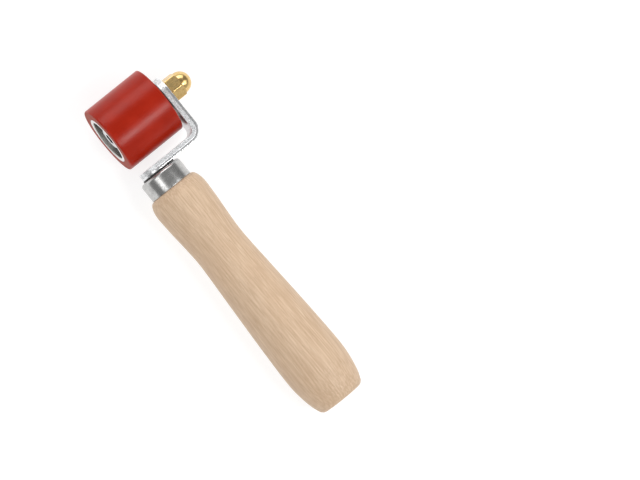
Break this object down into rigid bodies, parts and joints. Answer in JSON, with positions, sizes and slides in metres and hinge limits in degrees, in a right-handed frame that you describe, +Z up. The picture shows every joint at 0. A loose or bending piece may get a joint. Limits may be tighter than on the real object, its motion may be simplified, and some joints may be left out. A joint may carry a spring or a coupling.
{
  "type": "seam roller",
  "caption": "Hand seam roller: silicone-covered roller on ball bearings, carried on one side by a bent steel strip on a turned wooden handle.",
  "frame": {"origin": "on the bench that the tool lies on, under the middle of its bounding box", "axes": "+Z up from the bench, +Y along the tool from the handle's butt to the roller, +X along the axle towards its acorn nut"},
  "size_m": [0.0642, 0.2086, 0.04],
  "materials": {
    "handle_wood": "sanded pale hardwood, straight grain, thin satin oil",
    "ferrule_nickel": "polished nickel plate on drawn steel",
    "zinc_plate": "bright zinc plate, finely speckled",
    "nut_brass": "turned and polished brass",
    "core_steel": "bright turned steel",
    "bearing_steel": "ground and polished bearing steel",
    "silicone": "satin red silicone, ground to size",
    "dark_steel": "blackened spring steel, matt"
  },
  "bodies": {
    "handle_and_bracket": {"handle": "handle_wood", "ferrule": "ferrule_nickel", "support_washer": "dark_steel", "bracket": "zinc_plate", "bracket_screw": "zinc_plate", "axle_bolt": "zinc_plate", "axle_washer": "dark_steel", "acorn_nut": "nut_brass", "bearing_spacer": "core_steel", "free_bearing_inner_ring": "bearing_steel", "bracket_bearing_inner_ring": "bearing_steel"},
    "roller": {"roller_tyre": "silicone", "roller_core": "core_steel", "free_bearing_outer_ring": "bearing_steel", "free_bearing_shield_1": "bearing_steel", "free_bearing_shield_2": "bearing_steel", "bracket_bearing_outer_ring": "bearing_steel", "bracket_bearing_shield_1": "bearing_steel", "bracket_bearing_shield_2": "bearing_steel"},
    "free_bearing_cage": {"free_bearing_cage": "bearing_steel", "free_bearing_ball_1": "bearing_steel", "free_bearing_ball_2": "bearing_steel", "free_bearing_ball_3": "bearing_steel", "free_bearing_ball_4": "bearing_steel", "free_bearing_ball_5": "bearing_steel", "free_bearing_ball_6": "bearing_steel", "free_bearing_ball_7": "bearing_steel"},
    "bracket_bearing_cage": {"bracket_bearing_cage": "bearing_steel", "bracket_bearing_ball_1": "bearing_steel", "bracket_bearing_ball_2": "bearing_steel", "bracket_bearing_ball_3": "bearing_steel", "bracket_bearing_ball_4": "bearing_steel", "bracket_bearing_ball_5": "bearing_steel", "bracket_bearing_ball_6": "bearing_steel", "bracket_bearing_ball_7": "bearing_steel"}
  },
  "joints": [
    {"name": "roller_spin", "type": "hinge", "parent": "handle_and_bracket", "child": "roller", "pos_m": [-0.0138, 0.08431, 0.02], "axis": [1, 0, 0], "continuous": true},
    {"name": "free_bearing_cage_spin", "type": "hinge", "parent": "handle_and_bracket", "child": "free_bearing_cage", "pos_m": [-0.0138, 0.08431, 0.02], "axis": [1, 0, 0], "continuous": true},
    {"name": "bracket_bearing_cage_spin", "type": "hinge", "parent": "handle_and_bracket", "child": "bracket_bearing_cage", "pos_m": [-0.0138, 0.08431, 0.02], "axis": [1, 0, 0], "continuous": true}
  ],
  "couplings": [
    {"joint": "free_bearing_cage_spin", "follows": "roller_spin", "ratio": 0.62375},
    {"joint": "bracket_bearing_cage_spin", "follows": "roller_spin", "ratio": 0.62375}
  ]
}
